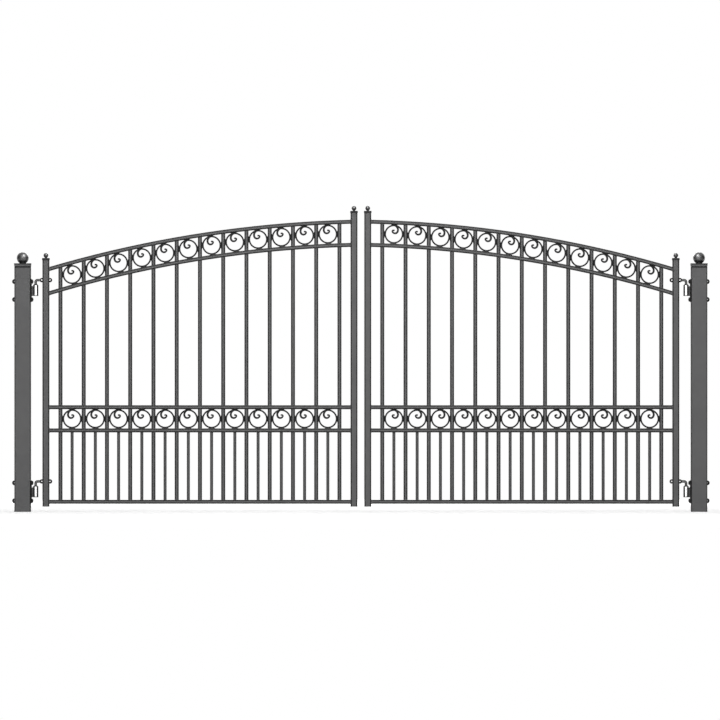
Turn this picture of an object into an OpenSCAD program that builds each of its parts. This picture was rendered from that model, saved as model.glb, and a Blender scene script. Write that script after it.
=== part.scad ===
// Arched twin-leaf driveway gate hung between two square steel posts.
// Millimetres. Origin: centre of the left post's foot. X runs along the gate, Y away from its front, Z up.
// The left half is modelled in place, and the right half mirrors it about the gate's centre line.

/* [Opening] */
// Clear width between the two posts
opening_w = 4084; // [3000:1:5400]
// Clear gap between a post and its leaf
hinge_gap = 71; // [64:1:100]
// Clear gap between the two leaves
meeting_gap = 42; // [16:1:70]
// Height of the leaves above the ground
ground_gap = 32; // [15:1:120]

/* [Posts] */
// Width of the square posts
post_w = 102; // [80:1:140]
// Wall of the post tube
post_wall = 3; // [2:0.5:6]
// Outer corner radius of the post tube
post_corner = 6; // [4:0.5:12]
// Height of the post tube above the upper hinge arm
post_rise = 76; // [40:1:200]

/* [Leaf frame] */
// Width of the square stiles
stile_w = 43; // [36:1:60]
// Wall of the stile tube
stile_wall = 3; // [2:0.5:5]
// Outer corner radius of the stile tube
stile_corner = 6; // [2:0.5:7]
// Height of the stiles above the arched top rail
stile_rise = 41; // [15:1:120]
// Height of every rail
rail_h = 25; // [20:1:40]
// Depth of every rail
rail_d = 35; // [30:1:40]
// Wall of the rails
rail_wall = 2.5; // [1.5:0.5:4]
// Outer corner radius of the rails
rail_corner = 5; // [1.5:0.5:5]
// Height of the bottom rail above the stiles' lower ends
foot_rise = 17.5; // [5:0.5:80]
// Clear height of the lower panel, between the bottom rail and the straight ring band
panel_h = 416.8; // [250:0.1:550]
// Clear height of both ring bands
band_clear = 118.4; // [90:0.1:140]

/* [Arch] */
// Outer radius of the arched top rail
arch_r = 7252; // [5000:1:12000]
// Height of the arch's crown above the ground
arch_crown = 1810; // [1600:1:2200]
// Distance of the arch's centre past the gate's centre line
arch_offset = 116; // [0:1:300]

/* [Pickets] */
// Number of full pickets in a leaf
picket_count = 13; // [9:1:17]
// Width of the full pickets
picket_w = 25; // [16:1:30]
// Wall of the full pickets
picket_wall = 2; // [1:0.5:4]
// Outer corner radius of the full pickets
picket_corner = 5; // [1:0.5:5]
// Clear gap between a stile and the first picket
end_gap = 56; // [40:1:90]
// Width of the short pickets in the lower panel
short_w = 19; // [12:1:25]
// Wall of the short pickets
short_wall = 1.5; // [1:0.5:3]
// Outer corner radius of the short pickets
short_corner = 4; // [1:0.5:4]

/* [Scroll rings] */
// Thickness of the ring bar
ring_bar = 10; // [6:0.5:14]
// Depth of the ring bar
ring_depth = 12; // [8:0.5:18]
// Edge radius of the ring bar
ring_edge = 2.5; // [0.5:0.5:2.5]
// Depth of the scroll bar inside the ring
scroll_d = 10; // [6:0.5:12]
// Outer radius of the scroll's first bend
scroll_r1 = 32.5; // [26:0.5:38]
// Outer radius of the scroll's second bend
scroll_r2 = 23; // [19:0.5:25]
// Outer radius of the scroll's end curl
scroll_r3 = 11; // [11:0.5:14]
// Thickness of the scroll bar once it has left the ring
scroll_t1 = 12.5; // [11:0.5:14]
// Thickness of the scroll bar where its end curl starts
scroll_t2 = 10.5; // [9:0.5:11]
// Thickness of the scroll bar at its tip
scroll_t3 = 8.5; // [6:0.5:9]
// Diameter of the snub at the scroll's tip
scroll_snub = 11; // [9:0.5:13]

/* [Stile finials] */
// Width of the square caps on the stiles
cap_w = 47; // [45:1:60]
// Height of the stile caps
cap_h = 14; // [8:1:30]
// Bevel round the top of the stile caps
cap_bevel = 2.5; // [0.5:0.5:5]
// Diameter of the balls on the stile caps
ball_d = 30; // [20:1:42]
// Diameter of the neck under a stile's ball
ball_neck_d = 15; // [8:1:18]
// Height of the ball's centre above the stile cap
ball_lift = 16; // [10:1:22]

/* [Post finials] */
// Height of the post caps
post_cap_h = 28; // [16:1:60]
// Overhang of the post caps beyond the post at the top
post_cap_flare = 2; // [1:0.5:2.5]
// Height of the straight lip at the foot of a post cap
post_cap_lip = 5; // [2:0.5:10]
// Depth of the groove above the lip
post_cap_groove = 1.5; // [0.5:0.5:3]
// Top wall of the post caps
post_cap_wall = 5; // [3:0.5:8]
// Diameter of the balls on the posts
post_ball_d = 74; // [50:1:90]
// Diameter of the collar under a post's ball
post_collar_d = 42; // [30:1:50]
// Height of the collar under a post's ball
post_collar_h = 6; // [2:0.5:12]
// Height of the ball's centre above the post cap
post_ball_lift = 33; // [22:1:45]

/* [Hinges] */
// Depth of the upper hinge arm below the top of the hinge stile
hinge_drop = 123; // [90:1:160]
// Height of the lower hinge arm above the bottom rail
hinge_lift = 113.5; // [100:0.5:200]
// Diameter of the hook bolts
pin_d = 16; // [12:0.5:20]
// Running clearance round the pin, on the radius
pin_play = 0.05; // [0.02:0.01:0.1]
// Distance of the pin's axis from the post
pin_offset = 29; // [28:0.5:36]
// Centre-line radius of the hook's bend
bend_r = 12; // [11:0.5:16]
// Diameter of the barrels
barrel_d = 33; // [28:0.5:38]
// Height of the barrels
barrel_h = 75; // [50:1:90]
// Height of the dome on a barrel
barrel_dome = 9; // [4:0.5:14]
// Floor under the pin in a barrel
barrel_floor = 6; // [3:0.5:12]
// Depth of a barrel's top below the hinge arm
barrel_drop = 23; // [22:0.5:40]
// Thickness of the bracket plates
plate_t = 5; // [4:0.5:8]
// Width of the bracket plates
plate_w = 60; // [44:1:76]
// Corner radius of the bracket plates
plate_corner = 6; // [2:0.5:10]
// Height of the plate above its upper bolt
plate_edge = 16; // [14:0.5:30]
// Thickness of the web between plate and barrel
web_t = 14; // [8:1:24]
// Fall of the web's top edge towards the plate
web_fall = 6; // [2:0.5:12]

/* [Fasteners] */
// Diameter of the post bolts
bolt_d = 12; // [8:0.5:14]
// Depth of the upper bolt below the hinge arm
bolt_drop = 9; // [6:0.5:12]
// Spacing of the two bolts of a bracket
bolt_pitch = 111; // [104:0.5:140]
// Diameter of the domed bolt heads
head_d = 30; // [22:0.5:36]
// Height of the domed bolt heads
head_h = 15; // [8:0.5:18]
// Width across flats of the bolts' hexagon nuts
hex_af = 22; // [18:0.5:24]
// Height of the bolts' hexagon nuts
hex_h = 8.5; // [6:0.5:9]
// Width of the chamfer on the nuts' outer faces, on the radius
hex_chamfer = 0.8; // [0.4:0.1:1.5]
// Length of the bolt ends past their nuts
bolt_tip = 2; // [1:0.5:2.5]
// Diameter of the domed nuts on the hook bolts
dome_nut_d = 27; // [24:0.5:32]
// Height of the domed nuts on the hook bolts
dome_nut_h = 17.5; // [12:0.5:22]

/* [Fits] */
// Gap left at welded seats and round fixed fasteners
seat = 0.3; // [0.1:0.05:0.5]

/* [Hidden] */
coat = [0.15, 0.15, 0.16];
$fn = 48;
arch_fn = 360;
corner_flats = 3;
eps = 1;

// Places along the gate
post_face = post_w / 2;
centre_x = post_face + opening_w / 2;
leaf_w = (opening_w - 2 * hinge_gap - meeting_gap) / 2;
leaf_x = post_face + hinge_gap;
rail_x0 = leaf_x + stile_w;
rail_x1 = leaf_x + leaf_w - stile_w;
rail_len = rail_x1 - rail_x0;
picket_x0 = rail_x0 + end_gap + picket_w / 2;
picket_pitch = (rail_len - 2 * end_gap - picket_w) / (picket_count - 1);
bay_clear = picket_pitch - picket_w;
picket_xs = [for (k = [0 : picket_count - 1]) picket_x0 + k * picket_pitch];
bay_xs = [for (k = [0 : picket_count - 2]) picket_x0 + (k + 0.5) * picket_pitch];

// Heights of the straight rails
bottom_rail_z = ground_gap + foot_rise;
bottom_rail_top = bottom_rail_z + rail_h;
low_band_z = bottom_rail_top + panel_h;
low_band_top = low_band_z + rail_h;
high_band_z = low_band_top + band_clear;

// The two arched rails share one centre
arch_cx = centre_x + arch_offset;
arch_cz = arch_crown - arch_r;
arch_under_r = arch_r - rail_h;
low_arch_r = arch_under_r - band_clear;
arch_band_r = arch_under_r - band_clear / 2;
function arch_z(r, x) = arch_cz + sqrt(r * r - (x - arch_cx) * (x - arch_cx));
function arch_angle(r, x) = acos((x - arch_cx) / r);

// Stile tops and hinge levels
hinge_stile_top = arch_z(arch_r, rail_x0) + stile_rise;
meeting_stile_top = arch_z(arch_r, rail_x1) + stile_rise;
arm_levels = [bottom_rail_top + hinge_lift, hinge_stile_top - hinge_drop];
post_h = arm_levels[1] + post_rise;
bolt_drops = [bolt_drop, bolt_drop + bolt_pitch];
bolt_hole_d = bolt_d + 2 * seat;
plate_h = bolt_pitch + 2 * plate_edge;
plate_mid = -bolt_drop - bolt_pitch / 2;
barrel_top = -barrel_drop;
barrel_bottom = barrel_top - barrel_h;
barrel_dome_r = (barrel_d * barrel_d / 4 + barrel_dome * barrel_dome) / (2 * barrel_dome);
arm_len = hinge_gap - pin_offset + stile_w + dome_nut_h / 2;

// Scroll ring geometry, in the ring's own plane
ring_d = min(bay_clear, band_clear) - 2 * seat;
ring_r = ring_d / 2 - ring_bar / 2;
scroll_start = 88;
scroll_swell = 140;
scroll_turn = 208;
scroll_curl = 338;
scroll_tip = 480;
function ray(a) = [cos(a), sin(a)];
scroll_c1 = (ring_r + ring_bar / 2 - scroll_r1) * ray(scroll_start);
scroll_lap = 4;
scroll_step = 0.15;
scroll_c2 = scroll_c1 + (scroll_r1 - scroll_step - scroll_r2) * ray(scroll_turn);
scroll_c3 = scroll_c2 + (scroll_r2 - scroll_step - scroll_r3) * ray(scroll_curl);

// Helpers

// Mirrors a left-hand piece to the right half of the gate
module on_right() {
    translate([2 * centre_x, 0, 0]) mirror([1, 0, 0]) children();
}

// Rectangle with round corners, centred
module round_rect(w, d, r) {
    square([w - 2 * r, d], center = true);
    square([w, d - 2 * r], center = true);
    for (sx = [-1, 1])
        for (sy = [-1, 1])
            translate([sx * (w / 2 - r), sy * (d / 2 - r)]) circle(r = r);
}

// Section of a rectangular tube
module tube(w, d, wall, r) {
    difference() {
        round_rect(w, d, r);
        round_rect(w - 2 * wall, d - 2 * wall, max(r - wall, 0.5));
    }
}

// The same section with its corners drawn as narrow flats, for the long arched rails
function flat_corner(x, y, r, a) =
    [for (k = [0 : corner_flats]) [x, y] + r * ray(a + 90 * k / corner_flats)];

module flat_cornered(w, d, r) {
    x = w / 2 - r;
    y = d / 2 - r;
    polygon(concat(
        flat_corner(x, y, r, 0), flat_corner(-x, y, r, 90),
        flat_corner(-x, -y, r, 180), flat_corner(x, -y, r, 270)
    ));
}

module flat_cornered_tube(w, d, wall, r) {
    difference() {
        flat_cornered(w, d, r);
        flat_cornered(w - 2 * wall, d - 2 * wall, max(r - wall, 0.5));
    }
}

// Turns a drawing into the gate's plane and gives it depth
module in_plane(depth) {
    rotate([90, 0, 0]) linear_extrude(depth, center = true) children();
}

// Square moulding with mitred corners from one half profile
module mitred(points) {
    outline = concat(points, [for (k = [len(points) - 1 : -1 : 0]) [-points[k][0], points[k][1]]]);
    reach = 2 * max([for (p = points) p[0]]) + 2 * eps;
    intersection() {
        rotate([90, 0, 0]) linear_extrude(reach, center = true) polygon(outline);
        rotate([90, 0, 90]) linear_extrude(reach, center = true) polygon(outline);
    }
}

// Domed button on the XY plane
module dome(d, h) {
    r = d / 2 + 0.6;
    intersection() {
        cylinder(d = d, h = h);
        translate([0, 0, h - r]) sphere(r = r);
    }
}

// Full disc of the arch up to a radius, for trimming
module arch_disc(r, depth) {
    translate([arch_cx, 0, arch_cz])
        rotate([90, 0, 0]) cylinder(r = r, h = depth, center = true, $fn = arch_fn);
}

// Posts

module post() {
    difference() {
        linear_extrude(post_h) tube(post_w, post_w, post_wall, post_corner);
        for (z = arm_levels)
            for (drop = bolt_drops)
                translate([0, 0, z - drop])
                    rotate([0, 90, 0]) cylinder(d = bolt_hole_d, h = post_w + 2 * eps, center = true);
    }
}

module post_cap() {
    half = post_w / 2;
    cavity = post_w - 2 * post_wall;
    translate([0, 0, post_h]) {
        difference() {
            mitred([
                [half, 0],
                [half, post_cap_lip],
                [half - post_cap_groove, post_cap_lip + post_cap_groove],
                [half, post_cap_lip + 2 * post_cap_groove],
                [half + post_cap_flare, post_cap_h - post_cap_flare],
                [half + post_cap_flare, post_cap_h - post_cap_flare / 2],
                [half + post_cap_flare / 2, post_cap_h]
            ]);
            translate([-cavity / 2, -cavity / 2, -eps])
                cube([cavity, cavity, post_cap_h - post_cap_wall + eps]);
        }
        translate([0, 0, post_cap_h - post_cap_wall / 2])
            cylinder(d = post_collar_d, h = post_cap_wall / 2 + post_collar_h);
        translate([0, 0, post_cap_h + post_ball_lift]) sphere(d = post_ball_d, $fn = 96);
    }
}

// Hinges

// Barrel with a domed top, turned from one profile
module barrel() {
    rotate_extrude()
        intersection() {
            square([barrel_d / 2, barrel_h]);
            union() {
                square([barrel_d / 2, barrel_h - barrel_dome]);
                translate([0, barrel_h - barrel_dome_r]) circle(r = barrel_dome_r);
            }
        }
}

module bracket(level) {
    translate([post_face, 0, level])
        difference() {
            union() {
                translate([0, 0, plate_mid])
                    rotate([90, 0, 90]) linear_extrude(plate_t) round_rect(plate_w, plate_h, plate_corner);
                in_plane(web_t)
                    polygon([
                        [plate_t - eps, barrel_bottom],
                        [pin_offset, barrel_bottom],
                        [pin_offset, barrel_top - barrel_dome],
                        [plate_t - eps, barrel_top - barrel_dome - web_fall]
                    ]);
                translate([pin_offset, 0, barrel_bottom]) barrel();
            }
            translate([pin_offset, 0, barrel_bottom + barrel_floor])
                cylinder(d = pin_d + 2 * pin_play, h = barrel_h);
            for (drop = bolt_drops)
                translate([0, 0, -drop])
                    rotate([0, 90, 0]) cylinder(d = bolt_hole_d, h = 3 * plate_t, center = true);
        }
}

module hook(level) {
    leg_end = barrel_bottom + barrel_floor + seat;
    translate([post_face + pin_offset, 0, level]) {
        translate([0, 0, leg_end]) cylinder(d = pin_d, h = -bend_r - leg_end);
        translate([bend_r, 0, -bend_r])
            rotate([90, 0, 0]) rotate([0, 0, 90])
                rotate_extrude(angle = 90) translate([bend_r, 0]) circle(d = pin_d);
        translate([bend_r, 0, 0]) rotate([0, 90, 0]) cylinder(d = pin_d, h = arm_len - bend_r);
    }
}

module hook_nuts() {
    for (z = arm_levels) {
        translate([leaf_x, 0, z]) rotate([0, -90, 0])
            difference() {
                dome(dome_nut_d, dome_nut_h);
                translate([0, 0, -eps]) cylinder(d = pin_d + 2 * seat, h = dome_nut_h + 2 * eps);
            }
        translate([rail_x0, 0, z]) rotate([0, 90, 0])
            difference() {
                dome(dome_nut_d, dome_nut_h);
                translate([0, 0, -eps]) cylinder(d = pin_d + 2 * seat, h = dome_nut_h / 2 + seat + eps);
            }
    }
}

module post_bolts() {
    shank = post_w + plate_t + hex_h;
    for (z = arm_levels)
        for (drop = bolt_drops)
            translate([-post_face, 0, z - drop]) {
                rotate([0, -90, 0]) dome(head_d, head_h);
                translate([-seat, 0, 0]) rotate([0, 90, 0]) cylinder(d = bolt_d, h = shank + seat);
                translate([shank, 0, 0]) rotate([0, 90, 0])
                    cylinder(d1 = bolt_d, d2 = bolt_d - bolt_tip, h = bolt_tip);
            }
}

module post_nuts() {
    face_r = hex_af / 2 - hex_chamfer;
    for (z = arm_levels)
        for (drop = bolt_drops)
            translate([post_face + plate_t, 0, z - drop]) rotate([0, 90, 0])
                difference() {
                    intersection() {
                        cylinder(d = hex_af / cos(30), h = hex_h, $fn = 6);
                        cylinder(r1 = face_r + hex_h / tan(30), r2 = face_r, h = hex_h);
                    }
                    translate([0, 0, -eps]) cylinder(d = bolt_hole_d, h = hex_h + 2 * eps);
                }
}

// Leaf frame

module stile(x, top, drilled) {
    difference() {
        translate([x, 0, ground_gap])
            linear_extrude(top - ground_gap) tube(stile_w, stile_w, stile_wall, stile_corner);
        if (drilled)
            for (z = arm_levels)
                translate([x, 0, z]) rotate([0, 90, 0])
                    cylinder(d = pin_d + 2 * seat, h = stile_w + 2 * eps, center = true);
    }
}

module stile_cap(x, top) {
    translate([x, 0, top]) {
        mitred([
            [cap_w / 2 - cap_bevel / 2, 0],
            [cap_w / 2, cap_bevel / 2],
            [cap_w / 2, cap_h - cap_bevel],
            [cap_w / 2 - cap_bevel, cap_h]
        ]);
        translate([0, 0, cap_h - eps]) cylinder(d = ball_neck_d, h = ball_lift);
        translate([0, 0, cap_h + ball_lift]) sphere(d = ball_d);
    }
}

// Square holes through a rail at every picket
module picket_holes(z, h) {
    hole = picket_w + 2 * seat;
    for (x = picket_xs)
        translate([x, 0, z]) linear_extrude(h) round_rect(hole, hole, picket_corner + seat);
}

module straight_rail(z) {
    translate([rail_x0, 0, z + rail_h / 2])
        rotate([90, 0, 90]) linear_extrude(rail_len) tube(rail_d, rail_h, rail_wall, rail_corner);
}

module punched_rail(z) {
    difference() {
        straight_rail(z);
        picket_holes(z - eps, rail_h + 2 * eps);
    }
}

// Arched rail trimmed upright at both stiles
module arched_rail(r) {
    low = arch_z(r - rail_h, rail_x0) - rail_h;
    a0 = arch_angle(r, rail_x1) - 1;
    a1 = arch_angle(r - rail_h, rail_x0) + 1;
    intersection() {
        translate([arch_cx, 0, arch_cz])
            rotate([90, 0, 0]) rotate([0, 0, a0])
                rotate_extrude(angle = a1 - a0, $fn = arch_fn)
                    translate([r - rail_h / 2, 0]) flat_cornered_tube(rail_h, rail_d, rail_wall, rail_corner);
        translate([rail_x0, -rail_d, low]) cube([rail_len, 2 * rail_d, arch_crown - low + rail_h]);
    }
}

module punched_arched_rail(r) {
    low = arch_z(r - rail_h, rail_x0) - rail_h;
    difference() {
        arched_rail(r);
        picket_holes(low, arch_crown - low);
    }
}

// Infill

module pickets() {
    for (x = picket_xs)
        intersection() {
            translate([x, 0, bottom_rail_top])
                linear_extrude(arch_crown - bottom_rail_top) tube(picket_w, picket_w, picket_wall, picket_corner);
            arch_disc(arch_under_r - seat, 2 * picket_w);
        }
}

module short_pickets() {
    for (x = bay_xs)
        translate([x, 0, bottom_rail_top])
            linear_extrude(panel_h) tube(short_w, short_w, short_wall, short_corner);
}

// One bend of the scroll: outer radius r about c, tapering from thickness t0 to t1 between two angles.
// It starts a little inside the bend before it, so that the two make one bar.
module scroll_bend(c, r, a0, a1, t0, t1) {
    steps = 4;
    from = a0 - scroll_lap;
    reach = 3 * r;
    fan = [for (k = [0 : steps]) c + reach * ray(from + (a1 - from) * k / steps)];
    r0 = r - t0;
    r1 = r - t1;
    shift = (r1 * r1 - r0 * r0) / (2 * (r0 - r1 * cos(a1 - a0)));
    intersection() {
        difference() {
            translate(c) circle(r = r);
            translate(c - shift * ray(a0)) circle(r = r0 + shift);
        }
        polygon(concat([c], fan));
    }
}

// Ring of bar with a heavier scroll drawn inward from its top
module scroll_ring() {
    trim = 2 * scroll_step;
    rotate([90, 0, 0])
        rotate_extrude($fn = 96) translate([ring_r, 0]) round_rect(ring_bar, ring_depth, ring_edge);
    in_plane(scroll_d)
        intersection() {
            circle(r = ring_r);
            union() {
                scroll_bend(scroll_c1, scroll_r1, scroll_start, scroll_swell, ring_bar, scroll_t1);
                scroll_bend(scroll_c1, scroll_r1, scroll_swell, scroll_turn, scroll_t1, scroll_t1);
                scroll_bend(scroll_c2, scroll_r2, scroll_turn, scroll_curl, scroll_t1 - trim, scroll_t2);
                scroll_bend(scroll_c3, scroll_r3, scroll_curl, scroll_tip, scroll_t2 - trim, scroll_t3);
                translate(scroll_c3 + (scroll_r3 - scroll_t3 / 2) * ray(scroll_tip)) circle(d = scroll_snub);
            }
        }
}

module arch_rings() {
    for (x = bay_xs)
        translate([x, 0, arch_z(arch_band_r, x)]) scroll_ring();
}

module band_rings() {
    for (x = bay_xs)
        translate([x, 0, low_band_top + band_clear / 2]) scroll_ring();
}

// Named pieces

module left_post() color(coat) post();
module right_post() color(coat) on_right() post();
module left_post_cap() color(coat) post_cap();
module right_post_cap() color(coat) on_right() post_cap();
module left_lower_bracket() color(coat) bracket(arm_levels[0]);
module left_upper_bracket() color(coat) bracket(arm_levels[1]);
module right_lower_bracket() color(coat) on_right() bracket(arm_levels[0]);
module right_upper_bracket() color(coat) on_right() bracket(arm_levels[1]);
module left_post_bolts() color(coat) post_bolts();
module right_post_bolts() color(coat) on_right() post_bolts();
module left_post_nuts() color(coat) post_nuts();
module right_post_nuts() color(coat) on_right() post_nuts();

hinge_stile_x = leaf_x + stile_w / 2;
meeting_stile_x = rail_x1 + stile_w / 2;
module left_hinge_stile() color(coat) stile(hinge_stile_x, hinge_stile_top, true);
module left_meeting_stile() color(coat) stile(meeting_stile_x, meeting_stile_top, false);
module left_hinge_stile_cap() color(coat) stile_cap(hinge_stile_x, hinge_stile_top);
module left_meeting_stile_cap() color(coat) stile_cap(meeting_stile_x, meeting_stile_top);
module left_top_rail() color(coat) arched_rail(arch_r);
module left_lower_arch_rail() color(coat) punched_arched_rail(low_arch_r);
module left_upper_band_rail() color(coat) punched_rail(high_band_z);
module left_lower_band_rail() color(coat) punched_rail(low_band_z);
module left_bottom_rail() color(coat) straight_rail(bottom_rail_z);
module left_pickets() color(coat) pickets();
module left_short_pickets() color(coat) short_pickets();
module left_arch_rings() color(coat) arch_rings();
module left_band_rings() color(coat) band_rings();
module left_upper_hook() color(coat) hook(arm_levels[1]);
module left_lower_hook() color(coat) hook(arm_levels[0]);
module left_hook_nuts() color(coat) hook_nuts();

module right_hinge_stile() color(coat) on_right() stile(hinge_stile_x, hinge_stile_top, true);
module right_meeting_stile() color(coat) on_right() stile(meeting_stile_x, meeting_stile_top, false);
module right_hinge_stile_cap() color(coat) on_right() stile_cap(hinge_stile_x, hinge_stile_top);
module right_meeting_stile_cap() color(coat) on_right() stile_cap(meeting_stile_x, meeting_stile_top);
module right_top_rail() color(coat) on_right() arched_rail(arch_r);
module right_lower_arch_rail() color(coat) on_right() punched_arched_rail(low_arch_r);
module right_upper_band_rail() color(coat) on_right() punched_rail(high_band_z);
module right_lower_band_rail() color(coat) on_right() punched_rail(low_band_z);
module right_bottom_rail() color(coat) on_right() straight_rail(bottom_rail_z);
module right_pickets() color(coat) on_right() pickets();
module right_short_pickets() color(coat) on_right() short_pickets();
module right_arch_rings() color(coat) on_right() arch_rings();
module right_band_rings() color(coat) on_right() band_rings();
module right_upper_hook() color(coat) on_right() hook(arm_levels[1]);
module right_lower_hook() color(coat) on_right() hook(arm_levels[0]);
module right_hook_nuts() color(coat) on_right() hook_nuts();

left_post();
right_post();
left_post_cap();
right_post_cap();
left_upper_bracket();
left_lower_bracket();
right_upper_bracket();
right_lower_bracket();
left_post_bolts();
right_post_bolts();
left_post_nuts();
right_post_nuts();
left_hinge_stile();
left_meeting_stile();
left_hinge_stile_cap();
left_meeting_stile_cap();
left_top_rail();
left_lower_arch_rail();
left_upper_band_rail();
left_lower_band_rail();
left_bottom_rail();
left_pickets();
left_short_pickets();
left_arch_rings();
left_band_rings();
left_upper_hook();
left_lower_hook();
left_hook_nuts();
right_hinge_stile();
right_meeting_stile();
right_hinge_stile_cap();
right_meeting_stile_cap();
right_top_rail();
right_lower_arch_rail();
right_upper_band_rail();
right_lower_band_rail();
right_bottom_rail();
right_pickets();
right_short_pickets();
right_arch_rings();
right_band_rings();
right_upper_hook();
right_lower_hook();
right_hook_nuts();
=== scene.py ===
"""Arched twin-leaf driveway gate: coat, welds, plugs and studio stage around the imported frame."""

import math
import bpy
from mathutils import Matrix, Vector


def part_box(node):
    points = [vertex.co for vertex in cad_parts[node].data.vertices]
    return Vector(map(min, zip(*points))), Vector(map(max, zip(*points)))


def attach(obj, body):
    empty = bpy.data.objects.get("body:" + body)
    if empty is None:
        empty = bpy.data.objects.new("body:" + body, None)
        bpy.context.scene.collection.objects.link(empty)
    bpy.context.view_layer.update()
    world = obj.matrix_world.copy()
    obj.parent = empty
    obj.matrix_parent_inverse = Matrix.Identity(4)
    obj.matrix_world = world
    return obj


bl_info = {
    "name": "Arched Driveway Gate",
    "version": (1, 0, 0),
    "blender": (4, 5, 0),
    "location": "View3D > Sidebar > Gate",
    "description": "Coats and welds an arched twin-leaf driveway gate and lights it in a plain studio",
    "category": "Object",
}

import bpy
from bpy.props import FloatProperty, FloatVectorProperty, IntProperty, PointerProperty
from bpy.types import Operator, Panel, PropertyGroup
from mathutils import Matrix, Vector

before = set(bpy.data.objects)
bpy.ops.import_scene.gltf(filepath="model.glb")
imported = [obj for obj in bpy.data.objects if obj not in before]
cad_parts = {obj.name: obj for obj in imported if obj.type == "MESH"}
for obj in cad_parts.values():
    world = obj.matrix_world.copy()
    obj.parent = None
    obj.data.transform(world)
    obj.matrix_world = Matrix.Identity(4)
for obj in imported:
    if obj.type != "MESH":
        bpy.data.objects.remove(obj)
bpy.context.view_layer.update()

SIDES = ("left", "right")
LEVELS = ("upper", "lower")
STILES = ("hinge_stile", "meeting_stile")
# Way along X from a post to the gate's centre
INWARD = {"left": 1, "right": -1}
QUARTER = math.pi / 2


# Settings

class GateFinish(PropertyGroup):
    """Colours and grain of the gate's coat and plating."""
    coat: FloatVectorProperty(
        name="Coat", description="Colour of the powder coat on tubes and rails",
        subtype="COLOR", size=3, min=0.0, max=1.0, default=(0.117, 0.117, 0.118))
    ring: FloatVectorProperty(
        name="Rings", description="Colour of the coat on the scroll rings and their tacks",
        subtype="COLOR", size=3, min=0.0, max=1.0, default=(0.010, 0.010, 0.0105))
    # On the post caps this colour is painted shade on the mouldings; the stile caps have it all over
    cap: FloatVectorProperty(
        name="Caps", description="Colour of the coat on the stile caps and the post caps' mouldings",
        subtype="COLOR", size=3, min=0.0, max=1.0, default=(0.022, 0.022, 0.0225))
    ball: FloatVectorProperty(
        name="Balls", description="Colour of the balls under their clear coat",
        subtype="COLOR", size=3, min=0.0, max=1.0, default=(0.010, 0.010, 0.0105))
    ironwork: FloatVectorProperty(
        name="Ironwork", description="Colour of the hinge plates and the nuts on them",
        subtype="COLOR", size=3, min=0.0, max=1.0, default=(0.008, 0.008, 0.008))
    web: FloatVectorProperty(
        name="Webs", description="Colour of the webs between hinge plate and barrel",
        subtype="COLOR", size=3, min=0.0, max=1.0, default=(0.088, 0.088, 0.089))
    barrel: FloatVectorProperty(
        name="Barrels", description="Colour of the plated hinge barrels",
        subtype="COLOR", size=3, min=0.0, max=1.0, default=(0.78, 0.78, 0.78))
    hook: FloatVectorProperty(
        name="Hooks", description="Colour of the plated hook bolts",
        subtype="COLOR", size=3, min=0.0, max=1.0, default=(0.13, 0.13, 0.13))
    bolt: FloatVectorProperty(
        name="Bolts", description="Colour of the plated bolts through the posts",
        subtype="COLOR", size=3, min=0.0, max=1.0, default=(0.32, 0.32, 0.32))
    dome: FloatVectorProperty(
        name="Domed nuts", description="Colour of the plated nuts on the hook bolts",
        subtype="COLOR", size=3, min=0.0, max=1.0, default=(0.55, 0.55, 0.55))
    plug: FloatVectorProperty(
        name="Plugs", description="Colour of the plugs in the stiles' lower ends",
        subtype="COLOR", size=3, min=0.0, max=1.0, default=(0.018, 0.018, 0.019))
    peel: FloatProperty(
        name="Peel", description="Size of the coat's orange-peel ripple",
        subtype="DISTANCE", unit="LENGTH", default=0.0022)
    # Edge band and the three edge shades below: painted shade along tube and rail edges, standing for the
    # shading of their rounded corners
    edge: FloatProperty(
        name="Edge", description="Width of the shaded band along the edges of tubes and rails",
        subtype="DISTANCE", unit="LENGTH", default=0.0098)
    edge_shade: FloatProperty(
        name="Edge shade", description="How dark the band along the edges is",
        subtype="FACTOR", min=0.0, max=1.0, default=0.95)
    short_shade: FloatProperty(
        name="Short picket edge shade", description="How dark the band along the short pickets' edges is",
        subtype="FACTOR", min=0.0, max=1.0, default=0.55)
    post_shade: FloatProperty(
        name="Post edge shade", description="How dark the band along the posts' edges is",
        subtype="FACTOR", min=0.0, max=1.0, default=0.5)
    # Width of the painted shadow on the posts' corners beside each hinge plate
    seam: FloatProperty(
        name="Hinge seam", description="Width of the black seam on the posts beside each hinge plate",
        subtype="DISTANCE", unit="LENGTH", default=0.0062)
    # Painted shade on the rims of plated pieces, standing for the dark surroundings they reflect
    rim_shade: FloatProperty(
        name="Rim shade", description="How dark plated pieces are where they turn from the front and back",
        subtype="FACTOR", min=0.0, max=1.0, default=0.96)


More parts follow.
